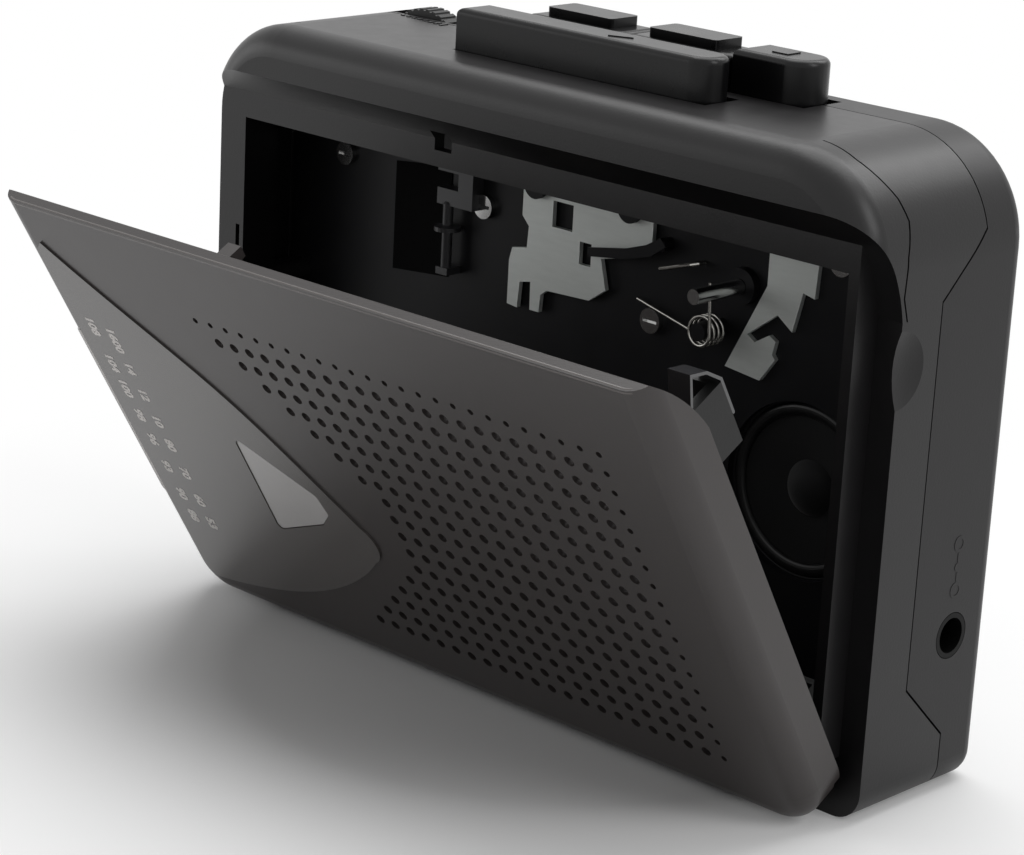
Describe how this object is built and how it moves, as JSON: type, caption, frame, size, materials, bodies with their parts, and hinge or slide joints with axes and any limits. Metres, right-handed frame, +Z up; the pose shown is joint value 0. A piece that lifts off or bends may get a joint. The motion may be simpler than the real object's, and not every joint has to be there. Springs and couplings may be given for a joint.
{
  "type": "cassette radio player",
  "caption": "Portable cassette player with radio: a perforated lid hinged along its bottom edge, piano keys on top, a loudspeaker behind the tape deck.",
  "frame": {"origin": "centre of the case bottom face, which it stands on", "axes": "+X to the right, +Y to the back, +Z up; the lid faces -Y"},
  "size_m": [0.1202, 0.0691, 0.091],
  "materials": {
    "case_abs": "fine moulded texture, satin",
    "lid_abs": "smooth satin moulding",
    "leaf_gloss": "polished",
    "clear_window": "smoked clear acrylic",
    "key_gloss": "polished",
    "inner_plastic": "moulded",
    "plated_steel": "zinc plated",
    "black_steel": "blackened",
    "bright_steel": "turned and polished",
    "spring_steel": "nickel plated",
    "rear_abs": "fine moulded texture, satin",
    "brass": "turned",
    "rubber": "ground",
    "white_nylon": "moulded",
    "paper": "pressed paper",
    "ferrite": "sintered",
    "board": "phenolic board",
    "pointer_red": "moulded",
    "copper": "enamelled winding"
  },
  "bodies": {
    "case": {"front_shell": "case_abs", "back_cover": "rear_abs", "chassis_plate": "black_steel", "side_plate": "plated_steel", "deck_posts": "black_steel", "deck_screws": "bright_steel", "case_screws": "black_steel", "hinge_pins": "bright_steel", "key_bracket": "plated_steel", "play_spring": "spring_steel", "rewind_spring": "spring_steel", "forward_spring": "spring_steel", "stop_spring": "spring_steel", "torsion_spring": "spring_steel", "capstan_bearing": "black_steel", "motor_can": "plated_steel", "drive_belt": "rubber", "idler_post": "bright_steel", "speaker_frame": "black_steel", "speaker_cone": "paper", "speaker_magnet": "ferrite", "main_board": "board", "board_parts": "inner_plastic", "volume_pot": "plated_steel", "tuning_capacitor": "white_nylon", "headphone_jack": "inner_plastic", "power_jack": "inner_plastic", "band_switch": "plated_steel", "ferrite_rod": "ferrite", "antenna_coil": "copper", "battery_contacts": "spring_steel"},
    "battery_door": {"battery_door": "rear_abs"},
    "lid": {"lid_panel": "lid_abs", "leaf_overlay": "leaf_gloss", "tape_window": "clear_window", "dial_window": "clear_window", "cassette_guide_left": "inner_plastic", "cassette_guide_right": "inner_plastic", "cassette_shelf": "inner_plastic", "cassette_ear": "lid_abs", "cassette_clip": "spring_steel"},
    "play_key": {"play_key": "key_gloss"},
    "rewind_key": {"rewind_key": "key_gloss"},
    "forward_key": {"forward_key": "key_gloss"},
    "stop_key": {"stop_key": "key_gloss"},
    "head_slide": {"head_plate": "plated_steel", "tape_head": "bright_steel"},
    "pinch_lever": {"pinch_arm": "plated_steel"},
    "pinch_roller": {"pinch_roller": "rubber"},
    "capstan": {"capstan_shaft": "bright_steel", "flywheel": "brass"},
    "motor_rotor": {"motor_pulley": "brass"},
    "supply_spindle": {"supply_spindle": "white_nylon"},
    "takeup_spindle": {"takeup_spindle": "white_nylon"},
    "idler_gear": {"idler_gear": "white_nylon"},
    "volume_wheel": {"volume_wheel": "inner_plastic"},
    "tuning_wheel": {"tuning_wheel": "inner_plastic"},
    "dial_pointer": {"dial_pointer": "pointer_red"},
    "band_knob": {"band_knob": "inner_plastic"}
  },
  "joints": [
    {"name": "lid_hinge", "type": "hinge", "parent": "case", "child": "lid", "pos_m": [0, -0.0125, 0.003], "axis": [-1, 0, 0], "range_deg": [0, 31]},
    {"name": "play_key_press", "type": "slide", "parent": "case", "child": "play_key", "axis": [0, 0, -1], "range_m": [0, 0.003], "stiffness_N_per_m": 400, "deforming": ["play_spring"]},
    {"name": "rewind_key_press", "type": "slide", "parent": "case", "child": "rewind_key", "axis": [0, 0, -1], "range_m": [0, 0.003], "stiffness_N_per_m": 400, "deforming": ["rewind_spring"]},
    {"name": "forward_key_press", "type": "slide", "parent": "case", "child": "forward_key", "axis": [0, 0, -1], "range_m": [0, 0.003], "stiffness_N_per_m": 400, "deforming": ["forward_spring"]},
    {"name": "stop_key_press", "type": "slide", "parent": "case", "child": "stop_key", "axis": [0, 0, -1], "range_m": [0, 0.003], "stiffness_N_per_m": 400, "deforming": ["stop_spring"]},
    {"name": "head_slide_move", "type": "slide", "parent": "case", "child": "head_slide", "axis": [0, 0, -1], "range_m": [0, 0.003]},
    {"name": "pinch_lever_swing", "type": "hinge", "parent": "case", "child": "pinch_lever", "pos_m": [0.0155, -0.0021, 0.07075], "axis": [0, 1, 0], "range_deg": [0, 33]},
    {"name": "pinch_roller_spin", "type": "hinge", "parent": "pinch_lever", "child": "pinch_roller", "pos_m": [0.0285, -0.0061, 0.0746], "axis": [0, 1, 0], "continuous": true},
    {"name": "capstan_spin", "type": "hinge", "parent": "case", "child": "capstan", "pos_m": [0.0285, 0.0039, 0.0618], "axis": [0, 1, 0], "continuous": true},
    {"name": "motor_spin", "type": "hinge", "parent": "case", "child": "motor_rotor", "pos_m": [-0.033, 0.0079, 0.054], "axis": [0, 1, 0], "continuous": true},
    {"name": "supply_spin", "type": "hinge", "parent": "case", "child": "supply_spindle", "pos_m": [-0.02125, -0.0001, 0.0352], "axis": [0, 1, 0], "continuous": true},
    {"name": "takeup_spin", "type": "hinge", "parent": "case", "child": "takeup_spindle", "pos_m": [0.02125, -0.0001, 0.0352], "axis": [0, 1, 0], "continuous": true},
    {"name": "idler_spin", "type": "hinge", "parent": "case", "child": "idler_gear", "pos_m": [0.02125, 0.0019, 0.0466], "axis": [0, 1, 0], "continuous": true},
    {"name": "volume_turn", "type": "hinge", "parent": "case", "child": "volume_wheel", "pos_m": [-0.041, 0.0104, 0.0782], "axis": [0, 1, 0], "range_deg": [-130, 130]},
    {"name": "tuning_turn", "type": "hinge", "parent": "case", "child": "tuning_wheel", "pos_m": [-0.0501, 0.0056, 0.031], "axis": [0, 1, 0], "range_deg": [-135, 135]},
    {"name": "pointer_slide", "type": "slide", "parent": "case", "child": "dial_pointer", "axis": [0, 0, 1], "range_m": [-0.0136, 0.0136]},
    {"name": "band_slide", "type": "slide", "parent": "case", "child": "band_knob", "axis": [0, 0, 1], "range_m": [0, 0.0025]},
    {"name": "battery_door_slide", "type": "slide", "parent": "case", "child": "battery_door", "axis": [-1, 0, 0], "range_m": [0, 0.01]}
  ],
  "couplings": [
    {"joint": "head_slide_move", "follows": "play_key_press", "ratio": 1},
    {"joint": "pinch_lever_swing", "follows": "play_key_press", "rad_per_m": 191.9},
    {"joint": "motor_spin", "follows": "capstan_spin", "ratio": 9},
    {"joint": "idler_spin", "follows": "takeup_spin", "ratio": -0.83333},
    {"joint": "pointer_slide", "follows": "tuning_turn", "m_per_rad": 0.00573}
  ]
}
